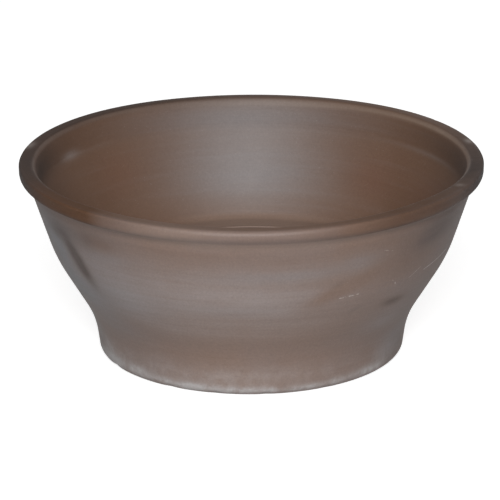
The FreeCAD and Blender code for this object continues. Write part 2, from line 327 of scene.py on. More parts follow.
# The foot stands a little to the left, and the wall leans to it below one height.
FOOT_SHIFT = 0.45 * MM
SHIFT_END, SHIFT_OVER = 75 * MM, 50 * MM
# Whatever lies this low is set flat on the ground.
RESTING_LEVEL = 0.02 * MM
BOWL_SEED = 7


def make_bowl():
    """The clay vessel: a turned surface with throwing lines, small chips and painted masks."""
    generator = np.random.default_rng(BOWL_SEED)
    outline, middles = rounded_outline(BOWL_CORNERS, OUTLINE_STEP)
    # Each of these leaves out the outline's two ends on the axis.
    side = matched_outline(SIDE_CORNERS, outline, middles)[1:-1]
    front = matched_outline(FRONT_CORNERS, outline, middles)[1:-1]
    normals = outline_normals(outline)[1:-1]
    along = lengths_along(outline)[1:-1]
    profile = outline[1:-1]
    radius, height = profile[:, :1], profile[:, 1:]
    rows = len(profile)
    # The first half of the rows lies inside the bowl.
    inside_rows = np.arange(rows)[:, None] < rows / 2
    angles = np.arange(TURNS_AROUND) * 2 * math.pi / TURNS_AROUND
    azimuth = (np.degrees(angles) + 180) % 360 - 180

    # Relief and chips, as a depth along the outline's normals.
    lines = sum(share * smooth_noise(along, waves, generator) for waves, share in THROWING_WAVES)
    lumps = sum(share * np.sin(waves * angles + phase) for waves, share, phase in LUMP_WAVES)
    depth = 0.5 + 0.5 * (LINES_SHARE * lines[:, None] + LUMPS_SHARE * lumps)
    cut = RELIEF * depth * np.minimum(radius / RELIEF_FADE, 1)
    for place, distance, level, half_width, deep in CHIPS:
        across = arc_length(azimuth, place, radius)
        away = ((across / CHIP_LENGTH) ** 2 + (radius - distance * MM) ** 2
                + (height - level * MM) ** 2)
        cut = cut + deep * MM * np.exp(-away / (half_width * MM) ** 2)

    # How much each place follows the side and front outlines, and how far it strays.
    sideways = eased(rise(np.abs(np.cos(angles)), SIDE_START, SIDE_OVER))
    forward = np.clip(-FRONT_GAIN * np.sin(angles), 0, 1) * (1 - sideways)
    tighter = np.where(np.cos(angles) > 0, -TIGHTER_RIGHT, -TIGHTER_LEFT)
    stray = np.where(np.sin(angles) > 0, WIDER_BEHIND, tighter)
    widening = stray * np.sin(2 * angles) ** 2 * rise(height, STRAY_START, STRAY_OVER)
    lip_zone = (rise(height - RIDGE_HEIGHT, 2 * MM, 10 * MM)
                * fall(radius, RIM_EDGE - 2 * MM, 5 * MM) * inside_rows)
    for place, half_width, reach in LIP_REACH:
        across = degrees_from(azimuth, place)
        widening = widening - lip_zone * reach * np.exp(-(across / half_width) ** 2)

    moved_radius = (radius + (side[:, :1] - radius) * sideways + (front[:, :1] - radius) * forward
                    + widening - normals[:, :1] * cut)
    moved_height = (height + (side[:, 1:] - height) * sideways + (front[:, 1:] - height) * forward
                    - normals[:, 1:] * cut)
    moved_height = np.where(height < RESTING_LEVEL, 0.0, moved_height)
    aside = FOOT_SHIFT * fall(moved_height, SHIFT_END, SHIFT_OVER) * ~inside_rows
    rings = np.stack([moved_radius * np.cos(angles) - aside, moved_radius * np.sin(angles),
                      moved_height], axis=2)
    vertices = np.concatenate([pole(outline[0]), rings.reshape(-1, 3), pole(outline[-1])])
    bowl = mesh_piece("suiban_bowl", vertices, turned_faces(rows, TURNS_AROUND, True, True))
    paint_masks(bowl, profile, azimuth)
    return bowl


def add_mask(piece, name, values):
    """A number at each vertex that the material reads."""
    attribute = piece.data.attributes.new(name, "FLOAT", "POINT")
    padded = np.concatenate([[values[0, 0]], values.ravel(), [values[-1, 0]]])
    attribute.data.foreach_set("value", padded.astype(np.float32))


# The painted spots. Each has its azimuth and height, half width and half height, lean per
# degree, and strength, in degrees and millimetres.

# Grey bloom on the outside.
BLOOM_SPOTS = [
    (-105, 78, 34, 17, 0.06, 0.62),
    (-84, 66, 20, 15, 0.05, 0.35),
    (-137, 82, 13, 12, -0.25, 0.30),
    (-128, 62, 14, 12, 0.10, 0.42),
    (-108, 50, 26, 12, 0.0, 0.32),
    (-70, 74, 12, 9, 0.10, 0.12),
    (-38, 58, 12, 14, 0.30, 0.12),
    (-43, 42, 9, 6, 0.0, 0.35),
    (-47, 70, 8, 7, 0.30, 0.10),
    (-155, 70, 14, 34, 0.0, 0.20),
    (-22, 92, 10, 22, 0.0, 0.08),
    (-67, 75.5, 9, 5, 0.72, -0.60),
    (60, 62, 40, 16, 0.05, 0.45),
    (140, 84, 34, 18, -0.05, 0.50),
    (8, 76, 18, 16, 0.1, 0.30),
]

# Blue-grey bloom, thin and cool, most of it at the left, where it also paints the grazing sheen.
BLUE_BLOOM_AND_SHEEN_SPOTS = [
    (-158, 92, 9, 18, 0.0, 0.50),
    (-148, 100, 9, 7, 0.0, 0.22),
    (-152, 60, 12, 14, 0.0, 0.60),
    (-154, 84, 5, 12, 0.0, 0.30),
    (-134, 66, 13, 12, 0.0, 0.16),
    (-143, 40, 12, 14, 0.0, 0.26),
    (-166, 30, 9, 26, 0.0, 0.35),
    (-132, 92, 8, 6, 0.2, 0.22),
    (-61, 96, 7, 7, 0.0, 0.30),
    (-90, 92, 20, 4, 0.05, 0.22),
    (-97, 66, 16, 4, 0.05, 0.24),
    (-78, 91, 15, 4, 0.05, 0.22),
    (-28, 16, 10, 14, 0.0, 0.30),
    (-136, 10, 12, 10, 0.0, 0.14),
    (-14, 98, 8, 9, 0.0, 0.22),
    (175, 80, 20, 24, 0.0, 0.40),
    (95, 96, 22, 6, 0.0, 0.25),
]

# Warm brown where the bloom is rubbed off.
RUBBED_SPOTS = [
    (-133.5, 101.0, 6.0, 4.6, -0.1, 0.60),
    (-145.6, 83.0, 4.4, 9.0, -2.0, 0.50),
    (-52, 106, 12, 7, 0.0, 0.25),
    (-43, 87, 10, 12, 0.2, 0.50),
    (-90, 40, 40, 5, 0.02, 0.20),
    (-67, 75.5, 9, 5, 0.72, 0.24),
    (-70, 84, 4.5, 6, 0.4, 0.26),
    (-70, 63, 14, 6, 0.5, 0.16),
    (-58, 86, 8, 6, 0.3, 0.20),
    (-43.0, 58.3, 4.8, 3.2, -0.15, 1.00),
    (-130, 45, 9, 4, 0.0, 0.20),
    (-100, 106, 26, 5, 0.0, 0.18),
    (90, 40, 50, 6, 0.02, 0.28),
]

# A lighter, warmer front, and painted light in a band under the rim, where the rim's shadow falls.
LIGHTER_FRONT_AND_PAINTED_LIGHT_SPOTS = [
    (-90, 60, 46, 60, 0.0, 0.23),
    (-92, 115.0, 50, 2.8, 0.0, 0.32),
]

# Dark scuffs and stains.
DARK_SPOTS = [
    (-146.5, 85.5, 3.3, 9.0, -2.0, 0.80),
    (-143.8, 78.5, 3.3, 8.5, -2.2, 0.80),
    (-137.8, 100.6, 2.4, 6.0, 0.0, 0.20),
    (-43.0, 58.3, 4.2, 2.8, -0.15, 0.62),
    (-36.0, 97.0, 6.5, 5.5, 0.0, 0.30),
    (-29.0, 104.0, 10, 8, 0.0, 0.38),
    (-151.0, 99.0, 7, 7, 0.0, 0.42),
    (-154.0, 96.5, 3.0, 4.0, 0.0, 0.25),
    (-148, 101, 12, 10, 0.0, 0.32),
    (-134, 104, 8, 6, 0.0, 0.16),
    (-34, 99, 14, 12, 0.0, 0.33),
    (-66.0, 82, 2.2, 2.0, 0.8, 0.20),
    (-58.5, 60, 2.0, 1.8, 0.8, 0.20),
]

# Chalky marks round the foot.
CHALK_SPOTS = [
    (-162, 5.6, 6, 4.0, 0.0, 0.80),
    (-156, 13, 9, 8.0, 0.0, 0.34),
    (-150, 5.4, 7, 4.8, 0.0, 1.10),
    (-137.5, 5.4, 4.5, 4.2, 0.0, 0.85),
    (-129.5, 4.6, 5, 3.0, 0.0, 0.35),
    (-122, 4.4, 3.5, 3.0, 0.0, 0.90),
    (-113.5, 3.8, 5, 2.8, 0.0, 0.85),
    (-103, 3.6, 6, 3.0, 0.0, 1.05),
    (-92, 3.6, 5, 2.6, 0.0, 0.80),
    (-84, 3.6, 3.6, 2.6, 0.0, 0.85),
    (-74, 3.6, 3.6, 2.4, 0.0, 0.60),
    (-66, 3.8, 4.5, 2.6, 0.0, 0.80),
    (-55, 4.2, 5, 2.8, 0.0, 0.70),
    (-40, 5.0, 8, 3.4, 0.0, 0.72),
    (-32, 12, 8, 9.0, 0.0, 0.14),
    (-102, 12, 50, 9.0, 0.0, 0.24),
    (40, 4.6, 8, 3.0, 0.0, 0.50),
    (75, 4.2, 9, 3.0, 0.0, 0.60),
    (110, 4.6, 8, 3.0, 0.0, 0.50),
    (150, 4.6, 10, 3.0, 0.0, 0.60),
]

# Inside: painted shade near the rim at both sides, a cool bloom behind with a painted sheen,
# redder patches, a pale smudge, and painted highlight in thin lines along the ridge.
# Painted shade inside at both sides, darkest near the rim.
PAINTED_SIDE_SHADE_SPOTS = [
    (174, 114, 15, 9, 0.0, 0.86),
    (10, 114, 24, 9, 0.0, 0.60),
    (-178, 92, 18, 16, 0.0, 0.30),
    (0, 92, 20, 18, 0.0, 0.35),
]
# A cool bloom behind, with a painted sheen at the middle of the back wall.
COOL_BLOOM_AND_SHEEN_SPOTS = [
    (92, 98, 24, 24, 0.0, 0.34),
    (91, 73, 24, 17, 0.0, 0.36),
    (92, 115, 34, 8, 0.0, 0.26),
]
RED_SPOTS = [
    (50, 82, 9, 14, 0.0, 0.45),
    (134, 88, 8, 12, 0.0, 0.40),
    (20, 84, 14, 12, 0.0, 0.30),
]
SMUDGE_AND_RIDGE_HIGHLIGHT_SPOTS = [
    (151, 108.6, 4.0, 2.4, 0.0, 0.28),
    # Thin pale lines along the ridge: painted highlight on its edge.
    (148, 107.4, 14, 1.2, 0.0, 0.06),
    (30, 107.2, 15, 1.4, 0.0, 0.11),
]

# Round the rim, by azimuth: how dark it is, how warm, how pale its inner slope, and how
# pale its lip.
RIM_TONES = [
    (-180, 0.88, 0.45, 0.00, 0.12),
    (-165, 0.78, 0.55, 0.00, 0.22),
    (-150, 0.30, 0.85, 0.00, 0.40),
    (-134, 0.20, 0.85, 0.00, 0.35),
    (-129, 0.10, 0.40, 0.00, 0.25),
    (-118, 0.00, 0.10, 0.00, 0.10),
    (-100, 0.00, 0.00, 0.00, 0.00),
    (-78, 0.00, 0.05, 0.00, 0.00),
    (-66, 0.05, 0.35, 0.00, 0.10),
    (-52, 0.22, 0.65, 0.00, 0.35),
    (-40, 0.32, 0.60, 0.00, 0.35),
    (-28, 0.50, 0.30, 0.10, 0.30),
    (-10, 0.94, 0.00, 0.12, 0.20),
    (8, 0.72, 0.00, 0.34, 0.12),
    (28, 0.20, 0.05, 0.52, 0.06),
    (42, 0.10, 0.00, 0.46, 0.00),
    (62, 0.16, 0.02, 0.34, 0.00),
    (90, 0.40, 0.04, 0.16, 0.00),
    (120, 0.66, 0.20, 0.05, 0.05),
    (145, 0.70, 0.24, 0.00, 0.06),
    (165, 0.66, 0.36, 0.00, 0.10),
    (180, 0.88, 0.45, 0.00, 0.12),
]

# Pale chips and rubs on the rim, and a painted highlight on its front: azimuth, distance
# from the axis, height, half length, half width, and strength.
RIM_MARKS = [
    (-43.6, 140.6, 125.6, 2.4, 1.1, 1.00),
    (-17.0, 140.2, 125.2, 1.8, 1.0, 0.70),
    (-23.2, 145.0, 126.2, 3.0, 1.7, 0.28),
    (15.0, 146.5, 126.2, 5.0, 2.0, 0.50),
    (39.0, 147.0, 126.0, 24.0, 3.4, 0.07),
    (62.0, 147.0, 126.0, 26.0, 3.4, 0.04),
    (-65.0, 147.0, 118.6, 1.6, 0.9, 0.50),
    # A painted highlight along the rounded outer edge of the rim in front.
    (-110.0, 146.0, 121.5, 30.0, 5.0, 0.18),
    (-61.5, 146.8, 118.4, 1.2, 0.8, 0.50),
    (167.0, 147.5, 126.0, 7.0, 2.4, 0.42),
]

# How many rows of the mesh it takes from one zone to the next.
SOFT_ROWS = 4.0


def paint_masks(bowl, outline, azimuth):
    """Masks for the inside, the rim, the foot, the bloom, the wear, and painted light and shade."""
    shape = (len(outline), len(azimuth))
    radius = np.broadcast_to(outline[:, :1], shape)
    height = np.broadcast_to(outline[:, 1:], shape)
    row = np.broadcast_to(np.arange(len(outline))[:, None], shape)
    angle = np.broadcast_to(azimuth, shape)

    # The inside goes up to the rim's highest and then outermost row, the outside from there
    # down to the foot's lowest row, and the underside from there on.
    crown = int(np.argmax(outline[:, 1] * 10 + outline[:, 0]))
    at_foot = outline[:, 0] > FOOT_RADIUS - 5 * MM
    foot_row = int(np.argmin(np.where(at_foot, outline[:, 1], 1)))
    inside = np.clip((crown - row) / SOFT_ROWS + 0.5, 0, 1)
    outside = (1 - inside) * fall(row, foot_row + 6, SOFT_ROWS)
    underside = rise(row - foot_row, 2, SOFT_ROWS)

    def gathered(spots):
        total = np.zeros(shape)
        for place, level, half_width, half_height, lean, strength in spots:
            total += strength * spot(angle, height, place, level * MM,
                                     half_width, half_height * MM, lean * MM)
        return total

    # The rim's band, its slope inwards, and its lip.
    tones = np.array(RIM_TONES)
    dark, warm, pale, lip_paleness = (np.interp(angle, tones[:, 0], tone) for tone in tones.T[1:])
    rim = (rise(radius - RIM_CREST, -1.5 * MM, 2 * MM)
           * rise(height - BOWL_HEIGHT, -9.8 * MM, 1.4 * MM))
    slope = rise(height - LIP_HEIGHT, -1 * MM, 1.5 * MM) * inside * (1 - rim)
    from_lip = (radius - RIM_INNER - 1.6 * MM) / (1.0 * MM)
    lip = np.exp(-from_lip ** 2) * (height > LIP_HEIGHT) * inside
    marks = np.zeros(shape)
    for place, distance, level, half_length, half_width, strength in RIM_MARKS:
        across = arc_length(angle, place, radius)
        away = (radius - distance * MM) ** 2 + (height - level * MM) ** 2
        marks += strength * np.exp(-(across / (half_length * MM)) ** 2
                                   - away / (half_width * MM) ** 2)

    # Painted light at the foot of the wall inside, in front and behind, where the corner is in
    # shade.
    low = (fall(height, FLOOR_HEIGHT + 5 * MM, 4 * MM) * inside * rise(radius, 90 * MM, 3 * MM)
           * np.exp(-((np.abs(angle) - 90) / 28) ** 4))

    wall = outside * (1 - rim)
    masks = {
        "inside": inside,
        "underside": underside,
        "bloom": np.clip(gathered(BLOOM_SPOTS), 0, 1) * wall,
        # Blue-grey bloom, and a painted sheen near the left edge.
        "blue": gathered(BLUE_BLOOM_AND_SHEEN_SPOTS) * wall,
        "rubbed": gathered(RUBBED_SPOTS) * outside,
        # A lighter front, and painted light in a band under the rim.
        "light": gathered(LIGHTER_FRONT_AND_PAINTED_LIGHT_SPOTS) * wall,
        "stain": gathered(DARK_SPOTS) * outside,
        "chalk": gathered(CHALK_SPOTS) * outside,
        "rim_dark": dark * (rim + 0.4 * slope * (1 - 2 * pale)),
        "rim_warm": warm * rim,
        "rim_pale": pale * slope,
        "lip_pale": lip_paleness * lip,
        # Chips and rubs, and a painted highlight on the rim in front.
        "marks": marks,
        # Painted shade at both sides of the inside.
        "painted_side_shade": gathered(PAINTED_SIDE_SHADE_SPOTS) * inside * (1 - rim) * (1 - slope),
        # Cool bloom, and a painted sheen on the back wall.
        "cool": gathered(COOL_BLOOM_AND_SHEEN_SPOTS) * inside,
        "red": gathered(RED_SPOTS) * inside,
        # A pale smudge, and painted highlight along the ridge.
        "smudge_and_ridge_highlight": gathered(SMUDGE_AND_RIDGE_HIGHLIGHT_SPOTS) * inside,
        # Painted light at the foot of the wall inside.
        "low": low,
    }
    for name, values in masks.items():
        add_mask(bowl, name, values)


class Shader:
    """The node tree of a material or of the world, with short calls to add nodes and link them."""

    def __init__(self, owner):
        self.owner = owner
        owner.use_nodes = True
        self.tree = owner.node_tree
        self.tree.nodes.clear()

    def add(self, kind, settings=None, **sockets):
        """A node with its settings, and its inputs set or linked by their place or name."""
        node = self.tree.nodes.new(kind)
        for name, value in (settings or {}).items():
            setattr(node, name, value)
        for name, value in sockets.items():
            numbered = name[0] == "i" and name[1:].isdigit()
            self.put(node.inputs[int(name[1:]) if numbered else name.replace("_", " ")], value)
        return node

    def put(self, socket, value):
        """Links a socket to another, or sets its value."""
        if isinstance(value, bpy.types.NodeSocket):
            self.tree.links.new(value, socket)
        else:
            socket.default_value = value

    def math(self, operation, first, second=0.0, clamp=False):
        """One sum of one or two numbers."""
        settings = {"operation": operation, "use_clamp": clamp}
        return self.add("ShaderNodeMath", settings, i0=first, i1=second).outputs[0]

    def plus(self, first, second, clamp=False):
        """Two numbers added."""
        return self.math("ADD", first, second, clamp)

    def minus(self, first, second, clamp=False):
        """One number less another."""
        return self.math("SUBTRACT", first, second, clamp)

    def times(self, first, second, clamp=False):
        """Two numbers multiplied."""
        return self.math("MULTIPLY", first, second, clamp)

    def place(self):
        """Where on the piece a point lies, in metres."""
        return self.add("ShaderNodeTexCoord").outputs["Object"]

    def noise(self, place, scale, detail=2.0, roughness=0.5, distortion=0.0):
        """Noise from 0 to 1 at a place."""
        node = self.add("ShaderNodeTexNoise", Vector=place, Scale=scale, Detail=detail,
                        Roughness=roughness, Distortion=distortion)
        return node.outputs["Fac"]

    def swing(self, noise, amount):
        """Noise that swings about 0 by an amount."""
        return self.times(self.minus(noise, 0.5), amount)

    def stretched(self, place, factors):
        """A place scaled along each axis."""
        node = self.add("ShaderNodeVectorMath", {"operation": "MULTIPLY"}, i0=place, i1=factors)
        return node.outputs[0]

    def ramp(self, value, low, high):
        """0 below low and 1 above high, with a soft slope between."""
        node = self.add("ShaderNodeMapRange", {"interpolation_type": "SMOOTHSTEP"}, Value=value)
        node.inputs["From Min"].default_value = low
        node.inputs["From Max"].default_value = high
        return node.outputs[0]

    def mix(self, share, first, second):
        """A colour between two."""
        node = self.add("ShaderNodeMix", {"data_type": "RGBA"}, i0=share, i6=first, i7=second)
        return node.outputs[2]

    def mask(self, name):
        """A number kept at the mesh's vertices."""
        return self.add("ShaderNodeAttribute", {"attribute_name": name}).outputs["Fac"]

    def bump(self, height, distance, strength):
        """Fine relief."""
        node = self.add("ShaderNodeBump", Height=height, Distance=distance, Strength=strength)
        return node.outputs[0]

    def surface(self, **sockets):
        """The shader itself and the material's output."""
        shader = self.add("ShaderNodeBsdfPrincipled", **sockets)
        self.add("ShaderNodeOutputMaterial", Surface=shader.outputs[0])
        return self.owner


def colour(red, green, blue):
    """A linear colour with full cover."""
    return (red, green, blue, 1.0)


WHITE = colour(1, 1, 1)
DARK_CLAY = colour(0.066, 0.042, 0.034)
BROWN_CLAY = colour(0.168, 0.107, 0.081)
DULL_CLAY = colour(0.155, 0.099, 0.077)
WARM_CLAY = colour(0.135, 0.076, 0.050)
LIGHT_CLAY_AND_PAINTED_LIGHT = colour(0.330, 0.235, 0.185)
INNER_CLAY = colour(0.117, 0.060, 0.034)
INNER_LIGHT = colour(0.128, 0.070, 0.043)
PAINTED_CORNER_LIGHT = colour(0.262, 0.180, 0.138)
PAINTED_SIDE_SHADE = colour(0.052, 0.032, 0.022)
RED_CLAY = colour(0.135, 0.060, 0.034)
HOLLOW_CLAY = colour(0.20, 0.145, 0.120)
HOLLOW_LIGHT = colour(0.27, 0.225, 0.205)
RIM_DARK = colour(0.050, 0.037, 0.033)
RIM_WARM = colour(0.104, 0.046, 0.019)
RIM_PALE = colour(0.225, 0.165, 0.125)
RIM_CHIPPED_AND_HIGHLIGHT = colour(0.42, 0.37, 0.34)
GREY_BLOOM = colour(0.235, 0.210, 0.210)
BLUE_BLOOM_AND_SHEEN = colour(0.190, 0.200, 0.218)
PALE_WEAR_AND_HIGHLIGHT = colour(0.370, 0.345, 0.340)
SCRATCHED = colour(0.62, 0.58, 0.56)
SHEEN_TINT = colour(0.75, 0.82, 0.90)

# Thin white scratches on the wall: azimuth and height of one end and of the other, width,
# strength, and how dotted.
SCRATCHES = [
    (-65.1, 71.6, -59.0, 72.6, 0.55, 0.44, 1.0),
    (-53.3, 100.9, -49.3, 99.0, 0.50, 0.24, 1.0),
    (-33.5, 75.3, -19.4, 79.8, 0.45, 0.55, 0.3),
    (-40.4, 74.0, -36.0, 79.0, 0.45, 0.35, 0.6),
    (-47.8, 77.5, -45.4, 72.0, 0.60, 0.45, 1.0),
]
# The wall's distance from the axis, halfway up.
MIDDLE_RADIUS = 128 * MM


def scratch_mask(s, azimuth, height, dots):
    """All the scratches as one number."""
    per_degree = MIDDLE_RADIUS * math.pi / 180
    total = None
    for from_azimuth, from_height, to_azimuth, to_height, width, strength, dotted in SCRATCHES:
        start = (from_azimuth * per_degree, from_height * MM)
        run = ((to_azimuth - from_azimuth) * per_degree, (to_height - from_height) * MM)
        length = math.hypot(*run)
        direction = (run[0] / length, run[1] / length)
        across = s.minus(s.times(azimuth, per_degree), start[0])
        up = s.minus(height, start[1])
        forward = s.plus(s.times(across, direction[0]), s.times(up, direction[1]))
        aside = s.minus(s.times(up, direction[0]), s.times(across, direction[1]))
        within = s.add("ShaderNodeClamp", Value=forward, Min=0.0, Max=length).outputs[0]
        beyond = s.minus(forward, within)
        away = s.math("SQRT", s.plus(s.times(aside, aside), s.times(beyond, beyond)))
        line = s.minus(1.0, s.ramp(away, 0.25 * width * MM, width * MM))
        broken = s.plus(1.0 - dotted, s.times(dots, dotted))
        mark = s.times(s.times(line, broken), strength)
        total = mark if total is None else s.plus(total, mark)
    return total


def clay_material():
    """Unglazed, smoked clay: brown under a grey bloom, rubbed at the rim and chalky at the foot."""
    s = Shader(bpy.data.materials.new("smoked_clay"))
    place = s.place()
    x, y, height = s.add("ShaderNodeSeparateXYZ", Vector=place).outputs
    azimuth = s.times(s.math("ARCTAN2", y, x), 180 / math.pi)
    inside = s.mask("inside")

    broad = s.noise(place, scale=14.0, detail=4.0, roughness=0.55, distortion=0.4)
    cloud = s.noise(place, scale=42.0, detail=5.0, roughness=0.6, distortion=0.6)
    streaks = s.noise(s.stretched(place, (9.0, 9.0, 230.0)),
                      scale=1.0, detail=4.0, roughness=0.6, distortion=0.25)
    fine_streaks = s.noise(s.stretched(place, (22.0, 22.0, 1100.0)),
                           scale=1.0, detail=3.0, roughness=0.6, distortion=0.1)
    grain = s.noise(place, scale=1500.0, detail=3.0, roughness=0.6)
    mottle = s.noise(place, scale=760.0, detail=2.0, roughness=0.7)
    grit = s.noise(place, scale=520.0, detail=2.0, roughness=0.5)
    specks = s.ramp(s.noise(place, scale=900.0, detail=1.0, roughness=0.4), 0.70, 0.78)
    dots = s.ramp(s.noise(place, scale=700.0, detail=1.0, roughness=0.5), 0.48, 0.60)
    blotches = s.ramp(s.noise(place, scale=90.0, detail=3.0, roughness=0.6, distortion=0.3),
                      0.38, 0.62)
    uneven = s.plus(s.swing(streaks, 0.75), s.swing(cloud, 0.55))
    brushed = s.plus(uneven, s.swing(fine_streaks, 0.45))

    def patchy(name, change, amount=1.0):
        """A painted mask, laid on unevenly."""
        return s.times(s.mask(name), s.plus(1.0, s.times(change, amount)), clamp=True)

    # Outside: brown clay, the bloom in brushed bands, blue bloom with a painted sheen, rubbed
    # places, a lighter front and painted light under the rim, stains, the foot's chalk, scratches.
    outer = s.mix(s.ramp(broad, 0.35, 0.7), BROWN_CLAY, DULL_CLAY)
    thin_bloom = s.times(s.ramp(s.plus(broad, s.times(brushed, 0.4)), 0.3, 0.8), 0.22)
    outer = s.mix(s.plus(patchy("bloom", brushed), thin_bloom, clamp=True), outer, GREY_BLOOM)
    # Blue-grey bloom, and a painted grazing sheen near the left edge.
    outer = s.mix(patchy("blue", brushed), outer, BLUE_BLOOM_AND_SHEEN)
    outer = s.mix(patchy("rubbed", brushed, 1.4), outer, WARM_CLAY)
    # A lighter front, and painted light that covers the shade under the rim.
    outer = s.mix(patchy("light", brushed), outer, LIGHT_CLAY_AND_PAINTED_LIGHT)
    outer = s.mix(patchy("stain", uneven, 1.2), outer, DARK_CLAY)
    chalk = s.times(s.mask("chalk"), s.plus(0.76, s.times(blotches, 0.65)), clamp=True)
    outer = s.mix(chalk, outer, PALE_WEAR_AND_HIGHLIGHT)
    scratches = s.times(scratch_mask(s, azimuth, height, dots), s.minus(1.0, inside), clamp=True)
    outer = s.mix(scratches, outer, SCRATCHED)

    # Inside: an even brown with a thin bloom, a cool bloom with a painted sheen behind, redder
    # patches, painted light at the foot of the wall, painted shade at both sides, and a smudge
    # with painted highlight along the ridge.
    inner = s.mix(s.ramp(broad, 0.3, 0.75), INNER_CLAY, INNER_LIGHT)
    inner = s.mix(s.times(s.ramp(streaks, 0.45, 0.8), 0.08), inner, GREY_BLOOM)
    # A cool bloom behind, with a painted sheen where the back wall faces the front lamp.
    inner = s.mix(patchy("cool", uneven, 0.5), inner, BLUE_BLOOM_AND_SHEEN)
    inner = s.mix(patchy("red", uneven), inner, RED_CLAY)
    # Painted light at the foot of the wall inside, over the corner's shade.
    inner = s.mix(s.times(s.mask("low"), 0.65), inner, PAINTED_CORNER_LIGHT)
    # Painted shade at both sides of the inside.
    inner = s.mix(patchy("painted_side_shade", uneven), inner, PAINTED_SIDE_SHADE)
    # A pale smudge, and painted highlight along the ridge's edge.
    inner = s.mix(patchy("smudge_and_ridge_highlight", uneven), inner, PALE_WEAR_AND_HIGHLIGHT)
    base = s.mix(inside, outer, inner)

    # Underneath, and over all of it the rim's own tones, chips, a painted highlight and specks.
    hollow = s.mix(s.ramp(cloud, 0.3, 0.7), HOLLOW_CLAY, HOLLOW_LIGHT)
    base = s.mix(s.mask("underside"), base, hollow)
    rim_warm, rim_dark = patchy("rim_warm", uneven, 0.6), patchy("rim_dark", uneven, 0.6)
    base = s.mix(rim_warm, base, RIM_WARM)
    base = s.mix(rim_dark, base, RIM_DARK)
    base = s.mix(patchy("rim_pale", uneven), base, RIM_PALE)
    lip_paleness = s.times(s.mask("lip_pale"), s.ramp(cloud, 0.35, 0.6))
    # Pale chips and rubs, the pale lip, and a painted highlight on the rim in front.
    base = s.mix(s.plus(lip_paleness, s.mask("marks"), clamp=True), base, RIM_CHIPPED_AND_HIGHLIGHT)
    base = s.mix(s.times(specks, 0.12), base, PALE_WEAR_AND_HIGHLIGHT)

    # Fine light and dark, less gloss where it is darkest, and fine relief.
    shade = s.plus(0.67, s.plus(s.times(grain, 0.14), s.times(grit, 0.16)))
    shade = s.plus(shade, s.times(mottle, 0.36))
    base = s.add("ShaderNodeVectorMath", {"operation": "SCALE"}, i0=base, Scale=shade).outputs[0]
    gloss = s.minus(0.66, s.times(0.56, s.plus(rim_dark, rim_warm, clamp=True)))
    # Less gloss where the shade is painted at both sides.
    gloss = s.minus(gloss, s.times(0.3, s.mask("painted_side_shade")), clamp=True)
    relief = s.plus(s.times(grain, 0.35), s.times(fine_streaks, 0.9))
    relief = s.plus(relief, s.times(grit, 0.5))
    roughness = s.plus(0.54, s.times(cloud, 0.12))
    return s.surface(Base_Color=base, Roughness=roughness, Specular_IOR_Level=gloss,
                     Sheen_Weight=0.02, Sheen_Roughness=0.5, Sheen_Tint=SHEEN_TINT,
                     Normal=s.bump(relief, 0.10 * MM, 0.8))


def lead_material():
    """Cast lead: dull grey with a soft mottle."""
    s = Shader(bpy.data.materials.new("cast_lead"))
    place = s.place()
    mottle = s.noise(place, scale=160.0, detail=5.0, roughness=0.6, distortion=0.5)
    pits = s.noise(place, scale=900.0, detail=3.0, roughness=0.6)
    base = s.mix(s.ramp(mottle, 0.3, 0.7), colour(0.155, 0.165, 0.180), colour(0.34, 0.35, 0.36))
    roughness = s.plus(0.38, s.times(mottle, 0.25))
    return s.surface(Base_Color=base, Metallic=0.85, Roughness=roughness,
                     Normal=s.bump(s.plus(mottle, pits), 0.12 * MM, 0.7))


def brass_material():
    """Drawn brass, a little tarnished."""
    s = Shader(bpy.data.materials.new("drawn_brass"))
    place = s.place()
    tarnish = s.noise(place, scale=130.0, detail=4.0, roughness=0.6, distortion=0.3)
    drawn = s.noise(s.stretched(place, (2600.0, 2600.0, 90.0)), scale=1.0, detail=2.0)
    base = s.mix(s.ramp(tarnish, 0.35, 0.75), colour(0.72, 0.50, 0.20), colour(0.42, 0.27, 0.10))
    roughness = s.plus(0.22, s.times(tarnish, 0.25))
    return s.surface(Base_Color=base, Metallic=1.0, Roughness=roughness,
                     Normal=s.bump(drawn, 0.01 * MM, 0.5))


def rubber_material():
    """Matt black rubber with a fine moulded grain."""
    s = Shader(bpy.data.materials.new("black_rubber"))
    place = s.place()
    grain = s.noise(place, scale=1800.0, detail=3.0, roughness=0.6)
    dust = s.noise(place, scale=140.0, detail=5.0, roughness=0.6)
    base = s.mix(s.ramp(dust, 0.45, 0.85), colour(0.014, 0.014, 0.015), colour(0.050, 0.048, 0.046))
    roughness = s.plus(0.62, s.times(dust, 0.2))
    return s.surface(Base_Color=base, Roughness=roughness, Normal=s.bump(grain, 0.03 * MM, 0.6))


# The needle holder: a lead weight in a rubber ring, with brass needles.
HOLDER_CENTRE = ((RING_LOW.x + RING_HIGH.x) / 2, (RING_LOW.y + RING_HIGH.y) / 2)
RING_OUTSIDE = (RING_HIGH.x - RING_LOW.x) / 2
WEIGHT_RADIUS = (WEIGHT_HIGH.x - WEIGHT_LOW.x) / 2
RING_BORE = WEIGHT_RADIUS + 0.1 * MM
RING_LIP_WIDTH = 4.5 * MM
HOLDER_AROUND = 160


def make_weight():
    """The lead disc with the soft edges of a casting and a shallow casting rim on top."""
    low, high = WEIGHT_LOW.z, WEIGHT_HIGH.z
    sunk = high - 0.4 * MM
    corners = [
        (0, sunk, 0),
        (WEIGHT_RADIUS - 2.4 * MM, sunk, 0.6 * MM),
        (WEIGHT_RADIUS - 1.8 * MM, high, 0.4 * MM),
        (WEIGHT_RADIUS, high, 0.9 * MM),
        (WEIGHT_RADIUS, low, 0.5 * MM),
        (0, low, 0),
    ]
    outline, _ = rounded_outline(corners, 1.0 * MM)
    return turned_piece("kenzan_weight", outline, HOLDER_AROUND, HOLDER_CENTRE)


